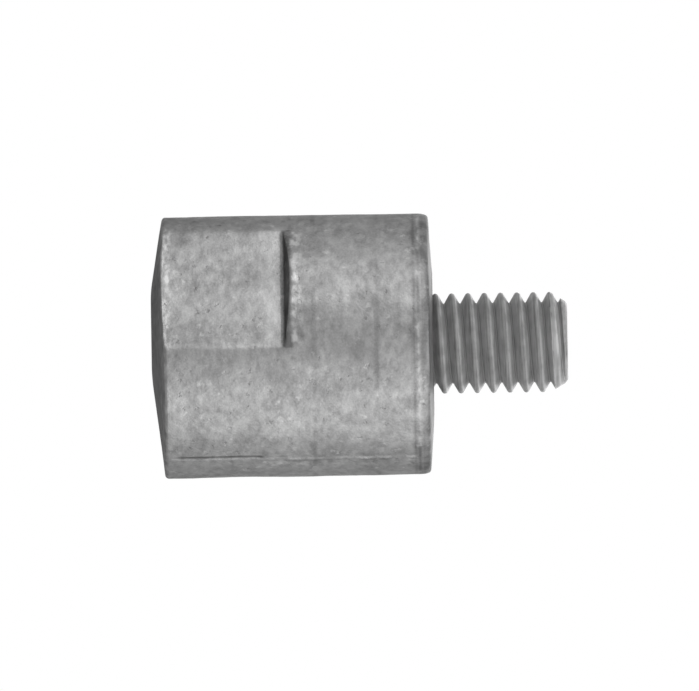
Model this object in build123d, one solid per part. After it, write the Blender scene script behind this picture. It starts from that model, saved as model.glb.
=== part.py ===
from build123d import *
from build123d.topology import SkipClean
import math
import os

# A sacrificial anode for an engine's cooling water: a zinc body, cast round the
# head of a steel M8 stud. Z runs along the stud. The body's free end is a shallow
# cone with a flat foot, on which the anode stands, and the origin is at the middle
# of that foot. Sizes are in millimetres and angles in degrees.

# Zinc body
BODY_DIAMETER = 20.0
BODY_LENGTH = 21.6  # from the free end to the seat
CROWN_RISE = 1.0  # of the free end's cone, from the foot to the rim
CROWN_RIM_RADIUS = 0.3
FOOT_DIAMETER = 8.0  # flat middle of the free end
SEAT_FALL = 0.3  # from the seat down to the rim of the stud end
SEAT_RIM_RADIUS = 0.45
SEAT_WIDTH = 1.1  # of the flat ring that bears on the engine
RELIEF_CLEARANCE = 0.4  # of the shallow ring that the mould leaves round the thread
RELIEF_DEPTH = 0.14

# Spanner flats, which face -Y and +Y
ACROSS_FLATS = 17.0
SHOULDER_HEIGHT = 10.55  # from the free end to the wall above each flat
SHOULDER_FILLET = 0.45  # in the corner between flat and wall
FLAT_EDGE_RADIUS = 0.3  # as-cast rounding along the outline of each flat

# Ridges along -X and +X, where the two halves of the mould met
RIDGE_WIDTH = 0.6
RIDGE_HEIGHT = 0.1

# Threaded end of the stud: M8 x 1.25, right-handed
THREAD_DIAMETER = 7.84
THREAD_PITCH = 1.25
THREAD_ANGLE = 60.0  # between the walls of the groove
CREST_WIDTH = 0.16
ROOT_WIDTH = 0.1
FLANK_OVERRUN = 0.05  # how far the groove's walls run on past the crests
THREAD_TURN = 150.0  # about Z, to where a crest crosses the seat
STUD_LENGTH = 10.3  # from the seat to the tip
TIP_DIAMETER = 6.04
TIP_ANGLE = 45.0

# Buried end of the stud: a plain shank and a hexagon head
SCREW_LENGTH = 20.0  # from under the head to the tip
SHANK_DIAMETER = 7.2
HEAD_ACROSS_FLATS = 13.0
HEAD_THICKNESS = 5.3

CREST_ARCS = 12  # in one turn of the thread
CUT_MARGIN = 0.3  # how far a cutting shape runs past the metal that it cuts

body_radius = BODY_DIAMETER / 2
thread_radius = THREAD_DIAMETER / 2
relief_radius = thread_radius + RELIEF_CLEARANCE
relief_bottom = BODY_LENGTH - RELIEF_DEPTH
stud_tip = BODY_LENGTH + STUD_LENGTH


def turned_casting():
    """The casting without its flats: a profile revolved about Z."""
    crown_rim = (body_radius, CROWN_RISE)
    seat_rim = (body_radius, BODY_LENGTH - SEAT_FALL)
    with BuildSketch(Plane.XZ) as profile:
        with BuildLine():
            Polyline(
                (0, relief_bottom),
                (0, 0),
                (FOOT_DIAMETER / 2, 0),
                crown_rim,
                seat_rim,
                (relief_radius + SEAT_WIDTH, BODY_LENGTH),
                (relief_radius, BODY_LENGTH),
                (relief_radius, relief_bottom),
                (0, relief_bottom),
            )
        make_face()
        fillet(profile.vertices().sort_by_distance(crown_rim)[0], CROWN_RIM_RADIUS)
        fillet(profile.vertices().sort_by_distance(seat_rim)[0], SEAT_RIM_RADIUS)
    return revolve(profile.sketch, Axis.Z)


def flat_cutter():
    """The part of the mould that forms the +Y flat and its filleted shoulder."""
    inside = ACROSS_FLATS / 2
    outside = body_radius + CUT_MARGIN
    corner = (inside, SHOULDER_HEIGHT)
    with BuildSketch(Plane.YZ) as section:
        with BuildLine():
            Polyline(
                corner,
                (inside, -CUT_MARGIN),
                (outside, -CUT_MARGIN),
                (outside, SHOULDER_HEIGHT),
                close=True,
            )
        make_face()
        fillet(section.vertices().sort_by_distance(corner)[0], SHOULDER_FILLET)
    return extrude(section.sketch, outside, both=True)


def parting_ridge():
    """The +X ridge: a long round-ended bar that stands out by the ridge's height."""
    bar_radius = (RIDGE_WIDTH**2 / 4 + RIDGE_HEIGHT**2) / (2 * RIDGE_HEIGHT)
    bar_x = body_radius + RIDGE_HEIGHT - bar_radius
    low = CROWN_RISE + CROWN_RIM_RADIUS + bar_radius
    high = BODY_LENGTH - SEAT_FALL - SEAT_RIM_RADIUS - bar_radius
    bar = Solid.make_cylinder(bar_radius, high - low, Plane((bar_x, 0, low)))
    ends = [Pos(bar_x, 0, height) * Sphere(bar_radius) for height in (low, high)]
    return bar.fuse(*ends)


def buried_end():
    """The shank and head that the zinc grips. The body's socket is the same shape."""
    head_top = stud_tip - SCREW_LENGTH
    head_outline = RegularPolygon(HEAD_ACROSS_FLATS / 2, 6, major_radius=False)
    head = Pos(0, 0, head_top) * extrude(head_outline, -HEAD_THICKNESS)
    shank_length = relief_bottom - head_top
    shank = Solid.make_cylinder(SHANK_DIAMETER / 2, shank_length, Plane((0, 0, head_top)))
    return head + shank


def zinc_body():
    turned = turned_casting()
    flats = [flat_cutter(), mirror(flat_cutter(), Plane.XZ)]
    casting = turned - flats
    casting = fillet(new_edges(turned, *flats, combined=casting), FLAT_EDGE_RADIUS)
    ridges = [parting_ridge(), mirror(parting_ridge(), Plane.YZ)]
    return casting + ridges - buried_end()


def thread_blank():
    """The threaded end before its groove is cut. Its round wall is made of short
    arcs, so that each face left on a crest is a small part of one turn."""
    arc = 360 / CREST_ARCS
    base = Plane((0, 0, relief_bottom))
    start = THREAD_TURN + arc / 2
    arcs = [
        Edge.make_circle(thread_radius, base, start + arc * i, start + arc * (i + 1))
        for i in range(CREST_ARCS)
    ]
    return Solid.extrude(Face(Wire(arcs)), Vector(0, 0, stud_tip - relief_bottom))


def groove_turn():
    """One turn of the groove between the crests, as a solid to cut away."""
    slope = math.tan(math.radians(THREAD_ANGLE / 2))
    root = ROOT_WIDTH / 2
    depth = ((THREAD_PITCH - CREST_WIDTH) / 2 - root) / slope
    mouth_radius = thread_radius + FLANK_OVERRUN
    mouth = root + (depth + FLANK_OVERRUN) * slope
    outside = thread_radius + CUT_MARGIN
    section = Polyline(
        (thread_radius - depth, 0, -root),
        (mouth_radius, 0, -mouth),
        (outside, 0, -mouth),
        (outside, 0, mouth),
        (mouth_radius, 0, mouth),
        (thread_radius - depth, 0, root),
        close=True,
    )
    helix = Helix(THREAD_PITCH, THREAD_PITCH, thread_radius)
    turn = sweep(Face(Wire(section.edges())), path=helix, is_frenet=True)
    return Rot(0, 0, THREAD_TURN) * turn


def tip_chamfer():
    """A ring to cut away, which leaves the tip a cone down to its flat end."""
    outside = thread_radius + CUT_MARGIN
    end_radius = TIP_DIAMETER / 2
    slope = math.tan(math.radians(TIP_ANGLE))
    with BuildSketch(Plane.XZ) as section:
        with BuildLine():
            Polyline(
                (end_radius - CUT_MARGIN, stud_tip + CUT_MARGIN * slope),
                (outside, stud_tip + CUT_MARGIN * slope),
                (outside, stud_tip - (outside - end_radius) * slope),
                close=True,
            )
        make_face()
    return revolve(section.sketch, Axis.Z)


def threaded_stud():
    turn = groove_turn()
    first_groove = BODY_LENGTH + THREAD_PITCH / 2
    below = math.ceil((first_groove - relief_bottom) / THREAD_PITCH) + 1
    above = math.ceil((stud_tip - first_groove) / THREAD_PITCH) + 1
    turns = [
        Pos(0, 0, first_groove + THREAD_PITCH * i) * turn for i in range(-below, above)
    ]
    # Cleaning would join the short crest faces of a turn into one.
    with SkipClean():
        threaded_end = thread_blank().cut(*turns)
        return threaded_end.cut(tip_chamfer()).fuse(buried_end())


os.makedirs("parts", exist_ok=True)
for name, part in (("zinc_body", zinc_body()), ("threaded_stud", threaded_stud())):
    export_step(part, f"parts/{name}.step")
    print(name, "volume", round(part.volume, 1), "mm3,", len(part.faces()), "faces")
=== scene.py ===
# %% [markdown]
# # A sacrificial anode
# A marine engine's anode is a slug of zinc that screws into the cooling water's path and
# corrodes in place of the engine. This one is a rough casting, 20 mm across, round the
# head of an M8 steel stud. Two spanner flats with a rounded shoulder are pressed into
# its sides. The lesson goes from the plain frame to a finished picture: first the view
# and the light, then the casting, the thread, and a material for each.
#
# The measured model comes first. It is loaded as a fixed frame, and every new piece is built where
# it says, in metres. The box round each of its parts is kept, and gives some of the sizes.

# %% The frame
import math

import bmesh
import bpy
from mathutils import Matrix, Vector, noise


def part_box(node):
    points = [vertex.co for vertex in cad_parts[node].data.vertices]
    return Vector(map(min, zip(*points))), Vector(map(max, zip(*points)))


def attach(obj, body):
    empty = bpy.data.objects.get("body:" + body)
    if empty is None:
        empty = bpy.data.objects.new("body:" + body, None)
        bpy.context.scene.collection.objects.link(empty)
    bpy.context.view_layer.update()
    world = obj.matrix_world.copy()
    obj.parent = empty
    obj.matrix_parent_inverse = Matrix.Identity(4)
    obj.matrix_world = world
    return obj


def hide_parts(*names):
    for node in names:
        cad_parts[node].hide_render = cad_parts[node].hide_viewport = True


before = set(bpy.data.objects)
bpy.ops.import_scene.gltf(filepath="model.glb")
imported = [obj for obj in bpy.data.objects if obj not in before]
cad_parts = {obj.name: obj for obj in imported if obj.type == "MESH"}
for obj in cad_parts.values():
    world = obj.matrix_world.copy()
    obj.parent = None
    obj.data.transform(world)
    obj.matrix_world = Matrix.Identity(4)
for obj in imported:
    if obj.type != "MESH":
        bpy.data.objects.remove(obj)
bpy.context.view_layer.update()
MM = 0.001

body_low, body_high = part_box("zinc_body")
stud_low, stud_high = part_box("threaded_stud")
print("body", body_low, body_high)
print("stud", stud_low, stud_high)

# %% [markdown]
# ## The view
# The anode stands on its crowned end, but a product picture often shows such a part
# lying along the frame. Turning the camera on its side does that without moving the
# part. A parallel (orthographic) camera keeps the outlines of the body straight, as a
# very long lens does. Three directions describe the view: towards the camera, and
# the picture's right and up. The camera looks at a flat from half-way down its side.

# %% Camera
FRAME_WIDTH_PX = 699
PX_PER_MM = 13.05
FLAT_TURN = math.radians(31.0)  # from the flat's normal to the camera
ROLL = math.radians(0.9)  # the stud's tip is a little high
AIM_HEIGHT = 15.18 * MM  # the point of the axis in the middle of the picture
AIM_DROP = 0.03 * MM
CAMERA_DISTANCE = 0.5

to_camera = Vector((math.sin(FLAT_TURN), -math.cos(FLAT_TURN), 0))
across = Vector((-math.cos(FLAT_TURN), -math.sin(FLAT_TURN), 0))
along = Vector((0, 0, 1))
picture_right = math.cos(ROLL) * along - math.sin(ROLL) * across
picture_up = math.sin(ROLL) * along + math.cos(ROLL) * across


def aimed(location, right, up, back):
    """A matrix that puts an object at a location with its own axes along these."""
    turn = Matrix((right, up, back)).transposed().to_4x4()
    return Matrix.Translation(location) @ turn


camera_data = bpy.data.cameras.new("camera")
camera_data.type = "ORTHO"
camera_data.ortho_scale = FRAME_WIDTH_PX / PX_PER_MM * MM
camera_data.clip_start = 0.01
camera_data.clip_end = 5.0
camera = bpy.data.objects.new("camera", camera_data)
aim = AIM_HEIGHT * along - AIM_DROP * picture_up
camera.matrix_world = aimed(
    aim + CAMERA_DISTANCE * to_camera, picture_right, picture_up, to_camera
)
bpy.context.scene.collection.objects.link(camera)
bpy.context.scene.camera = camera
bpy.context.scene.view_settings.view_transform = "Standard"
print("frame width", round(camera_data.ortho_scale / MM, 2), "mm")

# %% [markdown]
# ## The light
# Metal shows what is round it. Two tall soft boxes stand each side of the camera, one
# above the part and one below it in the picture, and leave a dimmer band between them.
# Both stand beyond the stud's end, so that the threads' far sides stay dark, and a
# small third box fills that end. A fourth, behind the part, keeps its back as light as
# its front. The world is a plain white to the camera and to reflections, and a dim
# grey as a lamp.

# %% Lamps
BOX_LENGTH = 0.34
BOX_DISTANCE = 0.40


def soft_box(name, turn, rise, width, power):
    """A long area lamp that faces the part, turned about its axis from the camera."""
    outward = math.cos(turn) * to_camera + math.sin(turn) * across
    away = math.cos(rise) * outward + math.sin(rise) * along
    side = along.cross(away).normalized()
    data = bpy.data.lights.new(name, "AREA")
    data.shape = "RECTANGLE"
    data.size = width
    data.size_y = BOX_LENGTH
    data.energy = power
    lamp = bpy.data.objects.new(name, data)
    middle = (stud_high.z / 2) * along
    lamp.matrix_world = aimed(middle + BOX_DISTANCE * away, side, away.cross(side), away)
    bpy.context.scene.collection.objects.link(lamp)
    print(name, [round(c, 3) for c in lamp.matrix_world.translation])


soft_box("upper_box", math.radians(55), math.radians(12), 0.24, 0.54)
soft_box("lower_box", math.radians(-55), math.radians(10), 0.44, 0.85)
soft_box("end_box", math.radians(0), math.radians(60), 0.24, 0.2)
soft_box("back_box", math.radians(180), math.radians(25), 0.44, 0.9)

# %% World
WORLD_FILL = 0.22


def light_path_white(nodes, links, seen, fill):
    """Mixes two shaders: seen for the camera, glossy and clear rays, fill for the rest."""
    path = nodes.new("ShaderNodeLightPath")
    any_seen = path.outputs["Is Camera Ray"]
    for ray in ("Is Glossy Ray", "Is Transmission Ray"):
        either = nodes.new("ShaderNodeMath")
        either.operation = "MAXIMUM"
        links.new(any_seen, either.inputs[0])
        links.new(path.outputs[ray], either.inputs[1])
        any_seen = either.outputs[0]
    mix = nodes.new("ShaderNodeMixShader")
    links.new(any_seen, mix.inputs["Fac"])
    links.new(fill.outputs[0], mix.inputs[1])
    links.new(seen.outputs[0], mix.inputs[2])
    return mix, any_seen


world = bpy.data.worlds.new("studio")
world.use_nodes = True
bpy.context.scene.world = world
nodes, links = world.node_tree.nodes, world.node_tree.links
nodes.clear()
white = nodes.new("ShaderNodeBackground")
white.inputs["Color"].default_value = (1, 1, 1, 1)
dim = nodes.new("ShaderNodeBackground")
dim.inputs["Color"].default_value = (WORLD_FILL, WORLD_FILL, WORLD_FILL, 1)
world_mix, _ = light_path_white(nodes, links, white, dim)
world_out = nodes.new("ShaderNodeOutputWorld")
links.new(world_mix.outputs[0], world_out.inputs["Surface"])

# %% [markdown]
# ## The floor
# A product table is a white sheet. Here it is a disc that takes the part's soft shadow
# and turns plain white a little way off, so that it has no edge in the picture. It lies
# a hair below the part, because two faces in one plane would flicker.

# %% Floor
FLOOR_RADIUS = 0.6
FLOOR_DROP = 0.01 * MM
FLOOR_COLOUR = 0.5
FLOOR_GLOW = 0.42  # of the floor near the part, so that its shadow stays soft
SHADOW_START = 0.02  # from the axis, where the floor begins to turn white
SHADOW_REACH = 0.10

floor_mesh = bmesh.new()
bmesh.ops.create_circle(
    floor_mesh, cap_ends=True, segments=64, radius=FLOOR_RADIUS,
    matrix=Matrix.Translation((0, 0, -FLOOR_DROP)),
)
floor_data = bpy.data.meshes.new("floor")
floor_mesh.to_mesh(floor_data)
floor_mesh.free()
floor = bpy.data.objects.new("floor", floor_data)
bpy.context.scene.collection.objects.link(floor)

floor_paint = bpy.data.materials.new("floor_paint")
floor_paint.use_nodes = True
nodes, links = floor_paint.node_tree.nodes, floor_paint.node_tree.links
nodes.clear()
paint = nodes.new("ShaderNodeBsdfDiffuse")
paint.inputs["Color"].default_value = (FLOOR_COLOUR, FLOOR_COLOUR, FLOOR_COLOUR, 1)
glow = nodes.new("ShaderNodeEmission")
floor_mix, any_seen = light_path_white(nodes, links, glow, paint)
coordinates = nodes.new("ShaderNodeTexCoord")
distance = nodes.new("ShaderNodeVectorMath")
distance.operation = "LENGTH"
links.new(coordinates.outputs["Object"], distance.inputs[0])
fade = nodes.new("ShaderNodeMapRange")
fade.interpolation_type = "SMOOTHSTEP"
fade.inputs["From Min"].default_value = SHADOW_START
fade.inputs["From Max"].default_value = SHADOW_REACH
fade.inputs["To Min"].default_value = FLOOR_GLOW
links.new(distance.outputs["Value"], fade.inputs["Value"])
both = nodes.new("ShaderNodeMath")
both.operation = "MULTIPLY"
links.new(any_seen, both.inputs[0])
links.new(fade.outputs["Result"], both.inputs[1])
links.new(both.outputs[0], floor_mix.inputs["Fac"])
floor_out = nodes.new("ShaderNodeOutputMaterial")
links.new(floor_mix.outputs[0], floor_out.inputs["Surface"])
floor_data.materials.append(floor_paint)

# %% [markdown]
# ## An outline for the casting
# The casting without its flats is round, so it starts as the outline of its half
# section. The outline is drawn as with a pen, in arcs and straight runs, and is cut
# into short steps, because the roughness of the casting is pressed into them later.
# The free end is a shallow crown with a small flat foot. The stud end falls away from
# a narrow seat round the thread. The crown's rim is a plain round, and the seat's is
# drawn out along the side, where the edge of the mould has worn.

# %% Sizes of the casting
BODY_RADIUS = body_high.y
BODY_TOP = body_high.z
RIDGE_HEIGHT = body_high.x - BODY_RADIUS
FOOT_RADIUS = 3.25 * MM
FOOT_SHIFT = 1.05 * MM  # of the foot from the axis, where the casting shrank unevenly
FOOT_BLEND = 12.0 * MM  # radius of the soft edge between foot and cone
CROWN_RISE = 0.95 * MM
CROWN_RIM = 0.3 * MM
SEAT_FALL = 0.3 * MM
SEAT_RIM = 0.3 * MM  # deep, and drawn out along the side
SEAT_RIM_LENGTH = 0.85 * MM
SEAT_OUTER = 5.42 * MM
SEAT_INNER = 4.32 * MM
RELIEF_DEPTH = 0.14 * MM
FLAT_DISTANCE = 8.5 * MM  # from the axis to each flat
SHOULDER = 10.32 * MM  # height of the wall's foot at the flats' upper ends
SHOULDER_FILLET = 0.42 * MM
SHOULDER_ROUND = 0.16 * MM
SHOULDER_DRAFT = 0.34  # the wall's slope, which lets the casting leave its mould
SHOULDER_SPREAD = 0.9 * MM  # of closely spaced rows above the wall
shoulder_low = SHOULDER - SHOULDER_FILLET
shoulder_high = SHOULDER + SHOULDER_SPREAD

# The buried end of the stud, which the casting's socket follows
SHANK_RADIUS = 3.6 * MM
SCREW_LENGTH = 20.0 * MM
HEAD_THICKNESS = 5.3 * MM
head_flat = stud_high.y
head_top = stud_high.z - SCREW_LENGTH
relief_floor = BODY_TOP - RELIEF_DEPTH

# %% Pen
def vertex_of(geometry):
    return next(part for part in geometry if isinstance(part, bmesh.types.BMVert))


def draw_line(mesh, pen, to, steps):
    """Draws from the pen to a point (x, z) in equal steps. Returns the new pen."""
    move = (Vector((to[0], 0, to[1])) - pen.co) / steps
    run = bmesh.ops.spin(mesh, geom=[pen], axis=(0, 1, 0), angle=0, dvec=move, steps=steps)
    return vertex_of(run["geom_last"])


def draw_arc(mesh, pen, centre, turn, steps, stretch=1):
    """Draws an arc about a point (x, z), outward to upward, drawn out along z."""
    before = set(mesh.verts)
    run = bmesh.ops.spin(
        mesh, geom=[pen], cent=(centre[0], 0, centre[1]), axis=(0, 1, 0), angle=-turn,
        steps=steps,
    )
    for vertex in set(mesh.verts) - before:
        vertex.co.z = centre[1] + (vertex.co.z - centre[1]) * stretch
    return vertex_of(run["geom_last"])


# %% Outline of the casting
casting = bmesh.new()

crown_slope = math.atan(CROWN_RISE / (BODY_RADIUS - FOOT_RADIUS))
crown_turn = math.pi / 2 - crown_slope
blend_start = FOOT_RADIUS - FOOT_BLEND * math.tan(crown_slope / 2)
rim_setback = CROWN_RIM * math.tan(crown_turn / 2)
rim_start = (
    BODY_RADIUS - rim_setback * math.cos(crown_slope),
    CROWN_RISE - rim_setback * math.sin(crown_slope),
)
seat_slope = math.atan(SEAT_FALL / (BODY_RADIUS - SEAT_OUTER))
seat_turn = math.pi / 2 - seat_slope
seat_rim_end = SEAT_FALL * SEAT_RIM * (1 - math.cos(seat_turn)) / (BODY_RADIUS - SEAT_OUTER)
seat_rim_start = (
    BODY_TOP - SEAT_FALL + seat_rim_end - SEAT_RIM_LENGTH * math.sin(seat_turn)
)

pen = casting.verts.new((0, 0, 0))
pen = draw_line(casting, pen, (blend_start, 0), 7)
pen = draw_arc(casting, pen, (blend_start, FOOT_BLEND), crown_slope, 8)
pen = draw_line(casting, pen, rim_start, 22)
pen = draw_arc(casting, pen, (BODY_RADIUS - CROWN_RIM, CROWN_RISE + rim_setback), crown_turn, 8)
pen = draw_line(casting, pen, (BODY_RADIUS, shoulder_low), 54)
pen = draw_line(casting, pen, (BODY_RADIUS, shoulder_high), 40)
pen = draw_line(casting, pen, (BODY_RADIUS, seat_rim_start), 56)
pen = draw_arc(
    casting, pen, (BODY_RADIUS - SEAT_RIM, seat_rim_start), seat_turn, 12,
    SEAT_RIM_LENGTH / SEAT_RIM,
)
pen = draw_line(casting, pen, (SEAT_OUTER, BODY_TOP), 20)
pen = draw_line(casting, pen, (SEAT_INNER, BODY_TOP), 6)
pen = draw_line(casting, pen, (SEAT_INNER, relief_floor), 2)
pen = draw_line(casting, pen, (SHANK_RADIUS, relief_floor), 3)
pen = draw_line(casting, pen, (SHANK_RADIUS, head_top), 1)
print("outline points", len(casting.verts), "ends at", [round(c / MM, 2) for c in pen.co])

# %% [markdown]
# ## Turning the outline
# The outline is turned about the axis in four sectors. Two narrow ones, at -X and +X,
# have finer steps, because the mould's halves met there and left a thin ridge. The
# crown's foot is then pushed off the middle, because a thick casting shrinks unevenly
# as it freezes. The socket for the stud's head is a hexagon, so its top is bridged from
# the round bore.

# %% Turn
RIDGE_SECTOR = math.radians(6.0)
RIDGE_STEPS = 12
SIDE_STEPS = 180
WELD = 0.001 * MM


def whole(mesh):
    return mesh.verts[:] + mesh.edges[:] + mesh.faces[:]


def is_vertex(part):
    return isinstance(part, bmesh.types.BMVert)


bmesh.ops.rotate(
    casting, verts=casting.verts, matrix=Matrix.Rotation(-RIDGE_SECTOR / 2, 3, "Z")
)
edge_line = whole(casting)
for sector, steps in ((RIDGE_SECTOR, RIDGE_STEPS), (math.pi - RIDGE_SECTOR, SIDE_STEPS)):
    turned = bmesh.ops.spin(casting, geom=edge_line, axis=(0, 0, 1), angle=sector, steps=steps)
    edge_line = turned["geom_last"]
other_half = bmesh.ops.duplicate(casting, geom=whole(casting))["geom"]
bmesh.ops.rotate(
    casting, verts=list(filter(is_vertex, other_half)), matrix=Matrix.Rotation(math.pi, 3, "Z")
)
bmesh.ops.remove_doubles(casting, verts=casting.verts, dist=WELD)
for vertex in casting.verts:
    vertex.co += FOOT_SHIFT * max(1 - vertex.co.z / CROWN_RISE, 0) * across
print("turned faces", len(casting.faces))


# %% Hexagon head
def add_head(mesh, bore_edges):
    """Closes a round bore that ends at the head's top with the shape of the head."""
    hexagon = bmesh.ops.create_circle(
        mesh, cap_ends=False, segments=6, radius=head_flat / math.cos(math.pi / 6),
        matrix=Matrix.Translation((0, 0, head_top)) @ Matrix.Rotation(math.pi / 6, 4, "Z"),
    )
    top = list({edge for vertex in hexagon["verts"] for edge in vertex.link_edges})
    bmesh.ops.bridge_loops(mesh, edges=top + bore_edges)
    sides = bmesh.ops.extrude_edge_only(mesh, edges=top)["geom"]
    low = list(filter(is_vertex, sides))
    bmesh.ops.translate(mesh, verts=low, vec=(0, 0, -HEAD_THICKNESS))
    bmesh.ops.contextual_create(mesh, geom=low)


def edges_at(mesh, height):
    """The open edges of a mesh that lie at a height."""
    return [
        edge for edge in mesh.edges
        if edge.is_boundary and all(abs(v.co.z - height) < WELD for v in edge.verts)
    ]


add_head(casting, edges_at(casting, head_top))
bmesh.ops.recalc_face_normals(casting, faces=casting.faces)
print("open edges", sum(not edge.is_manifold for edge in casting.edges))

# %% [markdown]
# ## Pressing the flats
# The mould forms the two spanner flats and the filleted wall above each. Every column
# of the turned side moves straight in to the flat. The close rows at the wall are laid
# along its path: up the fillet, out along the wall and on up the round side. The wall
# leans, so that the casting can leave its mould. Moved this way the mesh keeps its even
# steps, where cutting it would leave slivers. The corners are then softened with
# smooth_vert, as molten metal never fills a sharp corner.

# %% Flats
def shoulder_point(side, share):
    """A point (y, z) on the way over the shoulder, which meets the side at y = side."""
    rise = max(side - FLAT_DISTANCE, 0)
    turn = math.acos(max(1 - rise / SHOULDER_FILLET, 0))
    rounding = min(max(rise - SHOULDER_FILLET, 0), SHOULDER_ROUND)
    wall = max(rise - SHOULDER_FILLET - SHOULDER_ROUND, 0)
    bend, curl = SHOULDER_FILLET * turn, rounding * math.pi / 2
    foot = shoulder_low + SHOULDER_FILLET * math.sin(turn)
    top = foot + SHOULDER_DRAFT * wall + rounding
    way = share * (bend + wall + curl + shoulder_high - top)
    if way < bend:
        angle = way / SHOULDER_FILLET
        y = FLAT_DISTANCE + SHOULDER_FILLET * (1 - math.cos(angle))
        return y, shoulder_low + SHOULDER_FILLET * math.sin(angle)
    way -= bend
    if way < wall:
        return FLAT_DISTANCE + SHOULDER_FILLET + way, foot + SHOULDER_DRAFT * way
    way -= wall
    if way < curl:
        angle = way / rounding
        y = side - rounding + rounding * math.sin(angle)
        return y, top - rounding * math.cos(angle)
    return side, top + way - curl


for vertex in casting.verts:
    x, y, z = vertex.co
    if abs(y) <= FLAT_DISTANCE or z >= shoulder_high:
        continue
    new_y = FLAT_DISTANCE
    if z > shoulder_low:
        share = (z - shoulder_low) / (shoulder_high - shoulder_low)
        new_y, z = shoulder_point(abs(y), share)
    vertex.co = (x, math.copysign(new_y, y), z)

# %% Rounded corners
CORNER = math.radians(16)
CORNER_GROWTH = 2
ROUNDING_PASSES = 8
SLACK = 0.1 * MM  # within this of a surface a point counts as on it

casting.normal_update()
sharp = [
    edge for edge in casting.edges
    if edge.is_manifold and edge.calc_face_angle() > CORNER
    and edge.verts[0].co.xy.length > FLAT_DISTANCE - SLACK
]
corner = {vertex for edge in sharp for vertex in edge.verts}
for _ in range(CORNER_GROWTH):
    corner |= {edge.other_vert(v) for v in corner for edge in v.link_edges}
for _ in range(ROUNDING_PASSES):
    bmesh.ops.smooth_vert(
        casting, verts=list(corner), factor=0.5, use_axis_x=True, use_axis_y=True,
        use_axis_z=True,
    )
print("rounded corner points", len(corner))

# %% [markdown]
# ## The mould's marks
# Where the mould's halves met, a thin ridge runs along the casting. It is uneven,
# because the gap in the mould was, and along part of it the metal broke away and left
# a groove. The metal's skin is uneven too: it shrank and ran a little as it froze. A
# smooth noise gives the long swells, and a finer one the lumps that can be felt with a
# fingernail.

# %% Ridges
RIDGE_FOOT = -0.15 * MM  # the broken side, where the ridge ends in a groove
RIDGE_CREST = 0.15 * MM
RIDGE_END = 0.5 * MM
RIDGE_LOW = CROWN_RISE + CROWN_RIM
RIDGE_HIGH = seat_rim_start
RIDGE_RUN_OUT = 0.45 * MM
RIDGE_WAVE = 1.3 * MM
RIDGE_MEAN, RIDGE_SWING, RIDGE_LEAST = 0.5, 1.2, 0.1  # of its share of the full height
STEP_LOW, STEP_HIGH = 1.6 * MM, 8.6 * MM  # where the broken side left a groove, which gets a painted shade
STEP_SHARE = 0.4  # of the ridge's height that is left there
GROOVE_DEPTH = 0.06 * MM
GROOVE_WIDTH = 0.23 * MM


def hump(value, low, middle, high):
    """0 at low and high, 1 at the middle, and straight between."""
    return max(min((value - low) / (middle - low), (high - value) / (high - middle)), 0)


def ridge_share(y, z):
    """How much of its full height the ridge has at a point, from 0 to 1."""
    ends = min((z - RIDGE_LOW) / RIDGE_RUN_OUT, (RIDGE_HIGH - z) / RIDGE_RUN_OUT, 1)
    uneven = RIDGE_MEAN + RIDGE_SWING * noise.noise(Vector((0, 0, z / RIDGE_WAVE)))
    if STEP_LOW < z < STEP_HIGH:
        uneven *= STEP_SHARE
    rise = hump(y, RIDGE_FOOT, RIDGE_CREST, RIDGE_END)
    return rise * rise * (3 - 2 * rise) * max(ends, 0) * min(max(uneven, RIDGE_LEAST), 1)


def groove_share(y, z):
    """How deep the groove along the ridge's foot is at a point, from 0 to 1."""
    run_out = min((z - STEP_LOW) / RIDGE_RUN_OUT, (STEP_HIGH - z) / RIDGE_RUN_OUT, 1)
    return max(1 - abs(y - RIDGE_FOOT) / GROOVE_WIDTH, 0) * max(run_out, 0)


for vertex in casting.verts:
    x, y, z = vertex.co
    if abs(x) > BODY_RADIUS - SLACK:
        side = math.copysign(1, x)
        height = RIDGE_HEIGHT * ridge_share(side * y, z)
        height -= GROOVE_DEPTH * groove_share(side * y, z)
        vertex.co.x = x + side * height

# %% Skin
SWELL_SIZE = 4.5 * MM
SWELL_HEIGHT = 0.05 * MM
LUMP_SIZE = 0.9 * MM
LUMP_HEIGHT = 0.012 * MM
LUMP_FALL, LUMP_STEP, LUMP_OCTAVES = 0.8, 2.0, 3  # how the finer lumps are added

casting.normal_update()
for vertex in casting.verts:
    if vertex.co.xy.length < SEAT_OUTER and vertex.co.z > CROWN_RISE:
        continue
    swell = noise.noise(vertex.co / SWELL_SIZE) * SWELL_HEIGHT
    lump = noise.fractal(vertex.co / LUMP_SIZE, LUMP_FALL, LUMP_STEP, LUMP_OCTAVES) * LUMP_HEIGHT
    fade = min(vertex.co.z / CROWN_RISE, 1)
    vertex.co += vertex.normal * (swell + lump) * fade
print("swells", round(SWELL_HEIGHT / MM, 3), "mm and lumps", round(LUMP_HEIGHT / MM, 3), "mm")

# %% [markdown]
# ## Where the skin gets painted highlight, sheen and shade
# The casting's rims, the corner past each shoulder and the ridge's lit side get a painted
# highlight, each flat a painted sheen beside its wall, and the groove, the shoulders' feet and the
# seat round the stud a painted shade. Two faint rings mark where the mould's inserts meet. Painting
# that by hand would be lost whenever the shape changes. So each point keeps its share of painted
# highlight, sheen and shade, worked out from its place on the part, in bands that grow and fade
# along the axis. A noise breaks some of them up, so that no rim is even. The bend of the skin is
# kept as well, for the finish to find the smaller edges and hollows, which get more painted
# highlight and shade.

# %% Keeping a place
def keep_places(mesh, name, share_of):
    """Keeps a share from 0 to 1 for each point, for the finish to read by its name."""
    layer = mesh.verts.layers.float.new(name)
    for vertex in mesh.verts:
        vertex[layer] = share_of(vertex.co.x, vertex.co.y, vertex.co.z)
    print(name, sum(vertex[layer] > 0 for vertex in mesh.verts), "points")


PATCH_SIZE = 2.2 * MM
PATCH_MEAN, PATCH_SWING = 0.45, 1.3


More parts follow.
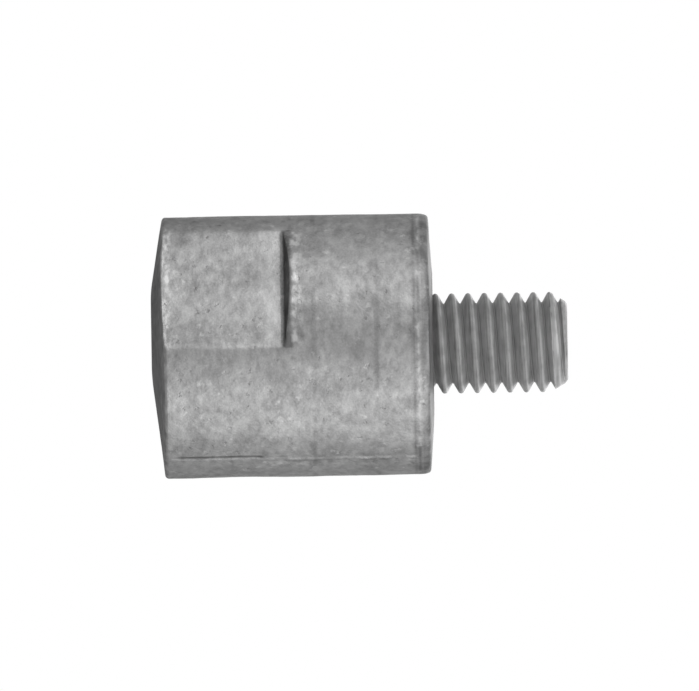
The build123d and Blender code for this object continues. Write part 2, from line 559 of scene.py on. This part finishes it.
def patchy(x, y, z):
    """A share that comes and goes over the skin, so that no line or rim is even."""
    swing = PATCH_SWING * noise.noise(Vector((x, y, z)) / PATCH_SIZE)
    return min(max(PATCH_MEAN + swing, 0), 1)


def band(z, height, shape):
    """A band's share. It starts, peaks and ends in mm from a height, and has a peak share."""
    low, middle, high, peak = shape
    return peak * hump(z, height + low * MM, height + middle * MM, height + high * MM)


def past_ridge(x, y):
    """How far round the side a point lies from the ridge on its half."""
    return math.copysign(1, x) * y


# %% Painted highlights
# Each band's start, peak and end in mm from the form that it belongs to, and its peak share
STREAK_ACROSS = (0.3, 0.9, 1.4, 0.6)  # round the side, from the ridge
STREAK_ALONG = (0, 1, 7, 1)
SEAT_RIM_HIGHLIGHT = (-0.16, 0, 0.16, 0.6)
SHOULDER_HIGHLIGHT = (0.2, 0.7, 1.4, 1)
CROWN_RIM_HIGHLIGHT = (-0.35, -0.05, 0.4, 0.5)
FLAT_END_HIGHLIGHT = (-0.1, 0.25, 0.7, 0.8)
FLAT_EDGE_HALF = 0.2 * MM
seat_zone = seat_rim_start - 1 * MM  # above this height only the seat's rim has a painted highlight


# The rims, the corner past each shoulder and the ridge's lit side are made lighter in colour, as
# painted highlights.
def highlight_share(x, y, z):
    """Painted highlights: the streak past the ridge, the rims, the corner past the shoulder, the
    flats' ends.
    """
    depth = abs(y) - FLAT_DISTANCE
    if z > seat_zone:
        return band(z, seat_rim_start, SEAT_RIM_HIGHLIGHT) * patchy(x, y, z)
    if abs(x) > FLAT_DISTANCE and z > STEP_HIGH:
        return band(past_ridge(x, y), 0, STREAK_ACROSS) * band(z, STEP_HIGH, STREAK_ALONG)
    if depth > FLAT_EDGE_HALF:
        return band(z, SHOULDER, SHOULDER_HIGHLIGHT)
    rim = band(z, CROWN_RISE, CROWN_RIM_HIGHLIGHT)
    if depth < -FLAT_EDGE_HALF:
        return rim
    return max(rim, band(z, CROWN_RISE, FLAT_END_HIGHLIGHT))


# Each point's share of painted highlight on the casting
keep_places(casting, "painted_highlight", highlight_share)

# %% Painted sheen on the flats
FLAT_HALF_WIDTH = math.sqrt(BODY_RADIUS ** 2 - FLAT_DISTANCE ** 2)
FLAT_SHEEN = (-2.2, -1.1, 1.0, 1)


def sheen_share(x, y, z):
    """A painted sheen: the strip of each flat beside the wall is made lighter."""
    if abs(abs(y) - FLAT_DISTANCE) > SLACK or abs(x) > FLAT_HALF_WIDTH:
        return 0
    return band(z, SHOULDER, FLAT_SHEEN)


# Each point's share of painted sheen on the flats
keep_places(casting, "painted_sheen", sheen_share)

# %% Painted shade and ring lines
TOOL_RINGS = (12.45 * MM, 17.3 * MM)  # faint lines where the mould's inserts meet
RING_SOILED = (-0.26, 0, 0.26, 0.35)
# Painted shade at the foot of each shoulder's wall
SHOULDER_SHADE = (-0.3, 0.1, 0.6, 2)  # cut off at 1, so that its middle is wide
SHOULDER_MOST = 0.65
# Painted shade in a line just below the seat's rim, and on the rim
SEAT_LINE_SHADE = (-0.55, -0.3, -0.1, 0.4)
SEAT_RIM_SHADE = (-0.3, 0, 0.3, 0.6)
# Painted shade over the seat's rim, for the dark stud mirrored in it
SEAT_SHADE_START, SEAT_SHADE_FULL = seat_rim_start + 0.1 * MM, seat_rim_start + 0.3 * MM
SEAT_SHADE_END = BODY_TOP + 2 * MM  # past the seat, so that the painted shade stays over all the rim
SEAT_SHADE_SHARE = 0.34
# Radius where the painted shade round the stud's foot ends
STUD_SHADE_END = SEAT_INNER + 2.4 * MM


def shade_and_rings_share(x, y, z):
    """Painted shade in the groove, the seat, its rim and the shoulder's foot, and two faint rings.
    """
    radius = math.hypot(x, y)
    if z > BODY_TOP - SEAT_FALL and radius < BODY_RADIUS - 1 * MM:
        return hump(radius, 0, SEAT_INNER, STUD_SHADE_END)
    if abs(x) > FLAT_DISTANCE and z < STEP_HIGH:
        return groove_share(past_ridge(x, y), z)
    if abs(x) < FLAT_HALF_WIDTH - SLACK and z < SHOULDER + 1 * MM:
        strip = min(band(z, SHOULDER, SHOULDER_SHADE), 1)
        return SHOULDER_MOST * strip * abs(x) / FLAT_HALF_WIDTH
    patches = patchy(x, y, z)
    rings = max(band(z, height, RING_SOILED) for height in TOOL_RINGS)
    line = band(z, seat_rim_start, SEAT_LINE_SHADE)
    rim = band(z, seat_rim_start, SEAT_RIM_SHADE)
    seat_shade = SEAT_SHADE_SHARE * hump(z, SEAT_SHADE_START, SEAT_SHADE_FULL, SEAT_SHADE_END)
    return max(line, rim * (1 - patches), seat_shade, rings * patches)


# Each point's share of painted shade, and of the two faint ring lines
keep_places(casting, "painted_shade_and_rings", shade_and_rings_share)

# %% Bend of the skin
CASTING_LEAST = 0.01 * MM  # edges shorter than this tell nothing of the bend


def store_bend(mesh, shortest):
    """Keeps each point's bend in 1/mm, rims above 0 and hollows below, for painted light and shade.
    """
    layer = mesh.verts.layers.float.new("bend")
    mesh.normal_update()
    for vertex in mesh.verts:
        if not all(edge.smooth for edge in vertex.link_edges):
            continue
        ways = [edge.other_vert(vertex).co - vertex.co for edge in vertex.link_edges]
        bends = [
            -2 * way.dot(vertex.normal) / way.length_squared for way in ways
            if way.length > shortest
        ]
        vertex[layer] = sum(bends) / max(len(bends), 1) * MM
    return [vertex[layer] for vertex in mesh.verts]


bends = store_bend(casting, CASTING_LEAST)
print("bend of the casting from", round(min(bends), 2), "to", round(max(bends), 2), "per mm")

# %% Piece
def piece_of(mesh, name, replaced):
    """Turns a finished mesh into a smooth object that takes a node's place."""
    for face in mesh.faces:
        face.smooth = True
    data = bpy.data.meshes.new(name)
    mesh.to_mesh(data)
    mesh.free()
    piece = bpy.data.objects.new(name, data)
    bpy.context.scene.collection.objects.link(piece)
    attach(piece, "root")
    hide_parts(replaced)
    print(name, len(data.polygons), "faces")
    return piece


cast_body = piece_of(casting, "cast_body", "zinc_body")

# %% [markdown]
# ## The stud
# One turn of the thread's outline is drawn, from a crest to the next, and turned up the axis as a
# screw. A rolled thread's crests and roots are round, so each is an arc that touches both flanks.
# More turns are copies of the first. The screw runs on past both ends and is then cut to length.
# Points outside the tip's cone are drawn in to it, and its end is rounded with a few extruded
# rings. The crests' edges are kept as places for a painted highlight, from each point's height over
# the crest of its turn. Where a plane cuts the thread the corner stays sharp, so that its shading
# doesn't blur.

# %% Sizes of the stud
PITCH = 1.25 * MM
CREST_RADIUS = 3.84 * MM
ROOT_RADIUS = 3.06 * MM
CREST_WIDTH = 0.26 * MM  # of the flats that the arcs at crest and root replace
ROOT_WIDTH = 0.10 * MM
FLANK_SLOPE = math.radians(30)
CREST_TURN = math.radians(150)  # where a crest crosses the seat
TIP_RADIUS = 3.02 * MM
TIP_SLOPE = math.radians(32)  # of the cone to the axis
TIP_ROUND = 0.5 * MM
TURN_STEPS = 144
FLANK_STEPS = 8
ARC_STEPS = 3

# %% Thread
screw = bmesh.new()
first_crest = BODY_TOP - 2 * PITCH
turns = math.ceil((stud_high.z - first_crest) / PITCH) + 1
arc_turn = math.pi / 2 - FLANK_SLOPE
# From half a flat's width to the radius of the arc that takes its place
to_round = 1 / math.tan(FLANK_SLOPE) / (1 / math.sin(FLANK_SLOPE) - 1)
crest_round, root_round = (width / 2 * to_round for width in (CREST_WIDTH, ROOT_WIDTH))
crest_centre = CREST_RADIUS - crest_round
root_centre = ROOT_RADIUS + root_round
root_flank = (
    root_centre - root_round * math.cos(arc_turn),
    first_crest + PITCH / 2 - root_round * math.sin(arc_turn),
)
next_flank = (
    crest_centre + crest_round * math.cos(arc_turn),
    first_crest + PITCH - crest_round * math.sin(arc_turn),
)

root_middle = (root_centre, first_crest + PITCH / 2)
pen = screw.verts.new((CREST_RADIUS, 0, first_crest))
pen = draw_arc(screw, pen, (crest_centre, first_crest), arc_turn, ARC_STEPS)
pen = draw_line(screw, pen, root_flank, FLANK_STEPS)
pen = draw_arc(screw, pen, root_middle, -2 * arc_turn, 2 * ARC_STEPS)
pen = draw_line(screw, pen, next_flank, FLANK_STEPS)
pen = draw_arc(screw, pen, (crest_centre, first_crest + PITCH), arc_turn, ARC_STEPS)
print("crest and root rounding", round(crest_round / MM, 3), round(root_round / MM, 3))

bmesh.ops.rotate(screw, verts=screw.verts, matrix=Matrix.Rotation(CREST_TURN, 3, "Z"))
bmesh.ops.spin(
    screw, geom=whole(screw), axis=(0, 0, 1), angle=math.tau,
    dvec=(0, 0, PITCH / TURN_STEPS), steps=TURN_STEPS,
)
one_turn = whole(screw)
for turn in range(1, turns):
    copied = bmesh.ops.duplicate(screw, geom=one_turn)["geom"]
    bmesh.ops.translate(
        screw, verts=list(filter(is_vertex, copied)), vec=(0, 0, turn * PITCH)
    )
bmesh.ops.remove_doubles(screw, verts=screw.verts, dist=WELD)
print("turns", turns, "faces", len(screw.faces))

# %% Ends of the thread
tip_setback = TIP_ROUND * math.tan((math.pi / 2 - TIP_SLOPE) / 2)
tip_centre = (TIP_RADIUS - tip_setback, stud_high.z - TIP_ROUND)
tip_cut = tip_centre[1] + TIP_ROUND * math.sin(TIP_SLOPE)
LEAST_RADIUS = 1.25 * MM  # of the points beyond the tip, which are cut away

for vertex in screw.verts:
    radius = vertex.co.xy.length
    cone = TIP_RADIUS + (stud_high.z - vertex.co.z) * math.tan(TIP_SLOPE)
    if radius > cone:
        vertex.co.xy *= max(cone, LEAST_RADIUS) / radius

for height, outward in ((tip_cut, 1), (relief_floor, -1)):
    bmesh.ops.bisect_plane(
        screw, geom=whole(screw), dist=WELD / 10, plane_co=(0, 0, height),
        plane_no=(0, 0, outward), clear_outer=True,
    )


def extrude_ring(mesh, ring):
    """Extrudes a closed ring of edges in place and returns the new points."""
    return list(filter(is_vertex, bmesh.ops.extrude_edge_only(mesh, edges=ring)["geom"]))


height = tip_cut
for step in range(1, ARC_STEPS + 1):
    angle = TIP_SLOPE + (math.pi / 2 - TIP_SLOPE) * step / ARC_STEPS
    ring = extrude_ring(screw, edges_at(screw, height))
    height = tip_centre[1] + TIP_ROUND * math.sin(angle)
    limit = tip_centre[0] + TIP_ROUND * math.cos(angle)
    for vertex in ring:
        vertex.co.xy *= min(limit / vertex.co.xy.length, 1)
        vertex.co.z = height
bmesh.ops.edgeloop_fill(screw, edges=edges_at(screw, height))
print("tip at", round(height / MM, 3))

# %% Shank
for height in (relief_floor, head_top):
    for vertex in extrude_ring(screw, edges_at(screw, relief_floor)):
        vertex.co.xy *= SHANK_RADIUS / vertex.co.xy.length
        vertex.co.z = height
add_head(screw, edges_at(screw, head_top))
bmesh.ops.recalc_face_normals(screw, faces=screw.faces)
print("open edges", sum(not edge.is_manifold for edge in screw.edges))

# %% Painted crest highlights and sharp cuts
UPPER_EDGE = (0.10, 0.17, 0.27)  # pitches over the crest, where each edge's band runs
LOWER_EDGE = (-0.20, -0.15, -0.10)
LOWER_SHARE = 0.4
CUT_CORNER = math.radians(35)  # past this a corner stays sharp, so that no shade runs round it
STUD_LEAST = 0.025 * MM


def crest_highlight_share(x, y, z):
    """Painted highlights at the crest's two edges, told by the height over the turn's crest."""
    turned = (math.atan2(y, x) - CREST_TURN) / math.tau
    rise = ((z - first_crest) / PITCH - turned + 0.5) % 1 - 0.5
    return max(hump(rise, *UPPER_EDGE), LOWER_SHARE * hump(rise, *LOWER_EDGE))


# Each point's share of painted highlight at the crests' edges
keep_places(screw, "painted_highlight", crest_highlight_share)
for edge in screw.edges:
    edge.smooth = edge.calc_face_angle() < CUT_CORNER
bends = store_bend(screw, STUD_LEAST)
print("bend of the stud from", round(min(bends), 2), "to", round(max(bends), 2), "per mm")
steel_stud = piece_of(screw, "steel_stud", "threaded_stud")

# %% [markdown]
# ## A finish for cast zinc
# Zinc straight from the mould is a light, flat grey. It is mottled where the skin froze at
# different times, and pitted by small bubbles. Each of these is a pattern of its own on the piece's
# coordinates, in millimetres: a mottle of about half a millimetre, drawn out a little round the
# axis, wide clouds, dull smudges, a fine grain, bright flecks, and pits darkened as painted shade.
# Their sum picks a tone between a dark and a light grey. What was kept for each point shifts the
# tone as well: a painted highlight on rims and sharp bends, a painted sheen on the flats, a painted
# shade in hollows, corners and round the stud, and two faint rings.

# %% Node helpers
def add_node(tree, kind, inputs, **options):
    """Adds a shader node with its options, and sets or links its inputs."""
    node = tree.nodes.new("ShaderNode" + kind)
    for option, value in options.items():
        setattr(node, option, value)
    for name, value in inputs.items():
        if isinstance(value, bpy.types.NodeSocket):
            tree.links.new(value, node.inputs[name])
        else:
            node.inputs[name].default_value = value
    return node


def millimetres(tree, stretch):
    """The piece's own coordinates in mm, so that a pattern's scale is per mm."""
    coordinates = tree.nodes.new("ShaderNodeTexCoord").outputs["Object"]
    scale = [share / MM for share in stretch]
    return add_node(tree, "Mapping", {"Vector": coordinates, "Scale": scale}).outputs[0]


def noise_of(tree, place, scale, detail):
    """A noise with its scale in waves per mm and its number of finer waves."""
    inputs = {"Vector": place, "Scale": scale, "Detail": detail}
    return add_node(tree, "TexNoise", inputs).outputs[0]


def ranged(tree, value, low, high, to_low, to_high):
    """Maps a range of a value to another range, and stops at its ends."""
    ends = {"From Min": low, "From Max": high, "To Min": to_low, "To Max": to_high}
    return add_node(tree, "MapRange", {"Value": value, **ends}).outputs[0]


def combined(tree, operation, first, second):
    return add_node(tree, "Math", {0: first, 1: second}, operation=operation).outputs[0]


def shifted(tree, tone, share, reach):
    """A tone moved by a share of a reach, lighter above 0 and darker below."""
    return combined(tree, "ADD", tone, combined(tree, "MULTIPLY", share, reach))


# %% Zinc: tone
zinc = bpy.data.materials.new("mottled_zinc")
zinc.use_nodes = True
tree = zinc.node_tree
place = millimetres(tree, (1, 1, 1))
drawn_out = millimetres(tree, (0.8, 0.8, 1.2))

mottle = noise_of(tree, drawn_out, 1.6, 3.0)
clouds = noise_of(tree, place, 0.35, 2.0)
smudges = noise_of(tree, drawn_out, 0.8, 4.0)
tone = combined(
    tree, "ADD", ranged(tree, mottle, 0.2, 0.8, 0.2, 0.8), ranged(tree, clouds, 0.2, 0.8, -0.2, 0.2)
)
tone = combined(tree, "SUBTRACT", tone, ranged(tree, smudges, 0.56, 0.72, 0, 0.25))
fine = noise_of(tree, place, 6.0, 2.0)
tone = combined(tree, "ADD", tone, ranged(tree, fine, 0.3, 0.7, -0.08, 0.08))

# %% Zinc: flecks and pits
RAGGED_REACH = 0.8  # mm, how far the round spots are pushed out of shape
RAGGED_SCALE = 3.2  # waves per mm of that push
FLECK_TONE = 0.5
PIT_SHADE_TONE = -0.3


def pushed(tree, place, reach):
    """Coordinates moved about by a noise, so that round spots become ragged."""
    push = add_node(tree, "TexNoise", {"Vector": place, "Scale": RAGGED_SCALE, "Detail": 2.0})
    centred = add_node(
        tree, "VectorMath", {0: push.outputs["Color"], 1: (0.5, 0.5, 0.5)}, operation="SUBTRACT"
    )
    inputs = {0: centred.outputs[0], 1: (reach, reach, reach), 2: place}
    return add_node(tree, "VectorMath", inputs, operation="MULTIPLY_ADD").outputs[0]


def scattered(tree, place, scale, size, rare):
    """Round spots of a size in mm. Only the cells whose number is above rare have one."""
    cells = add_node(tree, "TexVoronoi", {"Vector": place, "Scale": scale})
    spot = ranged(tree, cells.outputs["Distance"], size * scale, 0, 0, 1)
    number = add_node(tree, "SeparateColor", {"Color": cells.outputs["Color"]}).outputs[0]
    chosen = combined(tree, "GREATER_THAN", number, rare)
    return combined(tree, "MULTIPLY", spot, chosen)


ragged = pushed(tree, place, RAGGED_REACH)
flecks = scattered(tree, ragged, 1.2, 0.26, 0.7)
pits = scattered(tree, ragged, 1.5, 0.2, 0.75)
tone = shifted(tree, tone, flecks, FLECK_TONE)
# The pits are made darker in colour: painted shade in the bubble holes
tone = shifted(tree, tone, pits, PIT_SHADE_TONE)

# %% Zinc: painted highlight, sheen and shade
EDGE_HIGHLIGHT_TONE = 0.8
SHEEN_TONE = 0.22


def kept(tree, name):
    """What was kept for each point under a name."""
    return add_node(tree, "Attribute", {}, attribute_name=name).outputs["Fac"]


# Painted highlight on the kept rims and on sharp convex bends, broken up by the mottle and smudges
highlit_edges = combined(
    tree, "MAXIMUM", kept(tree, "painted_highlight"), ranged(tree, kept(tree, "bend"), 1.3, 3.0, 0, 0.4)
)
highlit_edges = combined(tree, "MULTIPLY", highlit_edges, ranged(tree, mottle, 0.42, 0.6, 0.15, 1))
highlit_edges = combined(tree, "MULTIPLY", highlit_edges, ranged(tree, smudges, 0.4, 0.52, 0.25, 1))
# Painted shade and the faint ring lines, broken up by the smudges
painted_shade_and_rings = combined(
    tree, "MULTIPLY", kept(tree, "painted_shade_and_rings"), ranged(tree, smudges, 0.42, 0.58, 0.6, 1.2)
)
# More painted shade in the skin's hollows, from the bend
shade_with_hollows_and_rings = combined(tree, "MAXIMUM", painted_shade_and_rings, ranged(tree, kept(tree, "bend"), -0.8, -2.4, 0, 0.7))
tone = shifted(tree, tone, highlit_edges, EDGE_HIGHLIGHT_TONE)
# A painted sheen lightens each flat beside its wall
tone = shifted(tree, tone, kept(tree, "painted_sheen"), SHEEN_TONE)
tone = combined(tree, "SUBTRACT", tone, shade_with_hollows_and_rings)

# %% Zinc: surface
DARK_ZINC = (0.15, 0.15, 0.15, 1)
LIGHT_ZINC = (0.45, 0.45, 0.45, 1)
EDGE_TINT = (0.3, 0.3, 0.3, 1)  # a rough metal's sides shine less than a smooth one's
ZINC_METALLIC = 0.9
ZINC_RELIEF = 0.02 * MM
HIGHLIT_GLOSS = 0.1  # how much less rough a place with a painted highlight is


def toned(tree, tone, dark, light):
    """A colour between a dark and a light one."""
    ramp = add_node(tree, "ValToRGB", {"Fac": tone})
    ramp.color_ramp.elements[0].color = dark
    ramp.color_ramp.elements[1].color = light
    return ramp.outputs["Color"]


def finish(tree, colour, metallic, roughness, relief, depth):
    """Sets a metal's colour, roughness and relief, whose full depth is in metres."""
    surface = tree.nodes["Principled BSDF"]
    surface.inputs["Metallic"].default_value = metallic
    surface.inputs["Specular Tint"].default_value = EDGE_TINT
    tree.links.new(colour, surface.inputs["Base Color"])
    tree.links.new(roughness, surface.inputs["Roughness"])
    bump = add_node(tree, "Bump", {"Height": relief, "Distance": depth})
    tree.links.new(bump.outputs["Normal"], surface.inputs["Normal"])


grain = noise_of(tree, place, 4.0, 2.0)
relief = combined(tree, "SUBTRACT", grain, pits)
roughness = shifted(tree, ranged(tree, clouds, 0.3, 0.7, 0.5, 0.42), highlit_edges, -HIGHLIT_GLOSS)
colour = toned(tree, tone, DARK_ZINC, LIGHT_ZINC)
finish(tree, colour, ZINC_METALLIC, roughness, relief, ZINC_RELIEF)
cast_body.data.materials.append(zinc)
print("zinc nodes", len(tree.nodes))

# %% [markdown]
# ## A finish for the steel stud
# The thread is rolled and has a thin dull plating, so it is more even than the casting and shines
# less like bare metal. The edges of its crests get a painted highlight, the middles of its crests a
# painted shade that dims their shine, and its roots a painted shade, which the bend kept for each
# point tells from the rest.
# Fine rings round the axis are drawn by a noise that changes quickly along it.

# %% Steel
DARK_STEEL = (0.23, 0.23, 0.23, 1)
LIGHT_STEEL = (0.64, 0.64, 0.64, 1)
STEEL_METALLIC = 0.2
STEEL_RELIEF = 0.004 * MM
CREST_HIGHLIGHT_TONE = 0.75

steel = bpy.data.materials.new("rolled_steel")
steel.use_nodes = True
tree = steel.node_tree
place = millimetres(tree, (1, 1, 1))
clouds = noise_of(tree, place, 0.9, 3.0)
rings = noise_of(tree, millimetres(tree, (0.3, 0.3, 6.0)), 1.0, 2.0)
tone = combined(
    tree, "ADD", ranged(tree, clouds, 0.3, 0.7, 0.35, 0.6), ranged(tree, rings, 0.3, 0.7, -0.2, 0.2)
)
bend = kept(tree, "bend")
# Painted shade in the thread's roots
tone = combined(tree, "ADD", tone, ranged(tree, bend, -4.0, -0.3, -0.8, 0.0))
# Painted shade on the crests, which dims the highlight that their round catches
tone = combined(tree, "ADD", tone, ranged(tree, bend, 0.8, 2.4, 0.0, -0.35))
uneven = ranged(tree, clouds, 0.35, 0.6, 0.45, 1)
# Painted highlight at the crests' edges, made uneven by the clouds
crest_highlight = combined(tree, "MULTIPLY", kept(tree, "painted_highlight"), uneven)
tone = shifted(tree, tone, crest_highlight, CREST_HIGHLIGHT_TONE)
roughness = ranged(tree, clouds, 0.3, 0.7, 0.55, 0.45)
colour = toned(tree, tone, DARK_STEEL, LIGHT_STEEL)
finish(tree, colour, STEEL_METALLIC, roughness, rings, STEEL_RELIEF)
steel_stud.data.materials.append(steel)
print("steel nodes", len(tree.nodes))
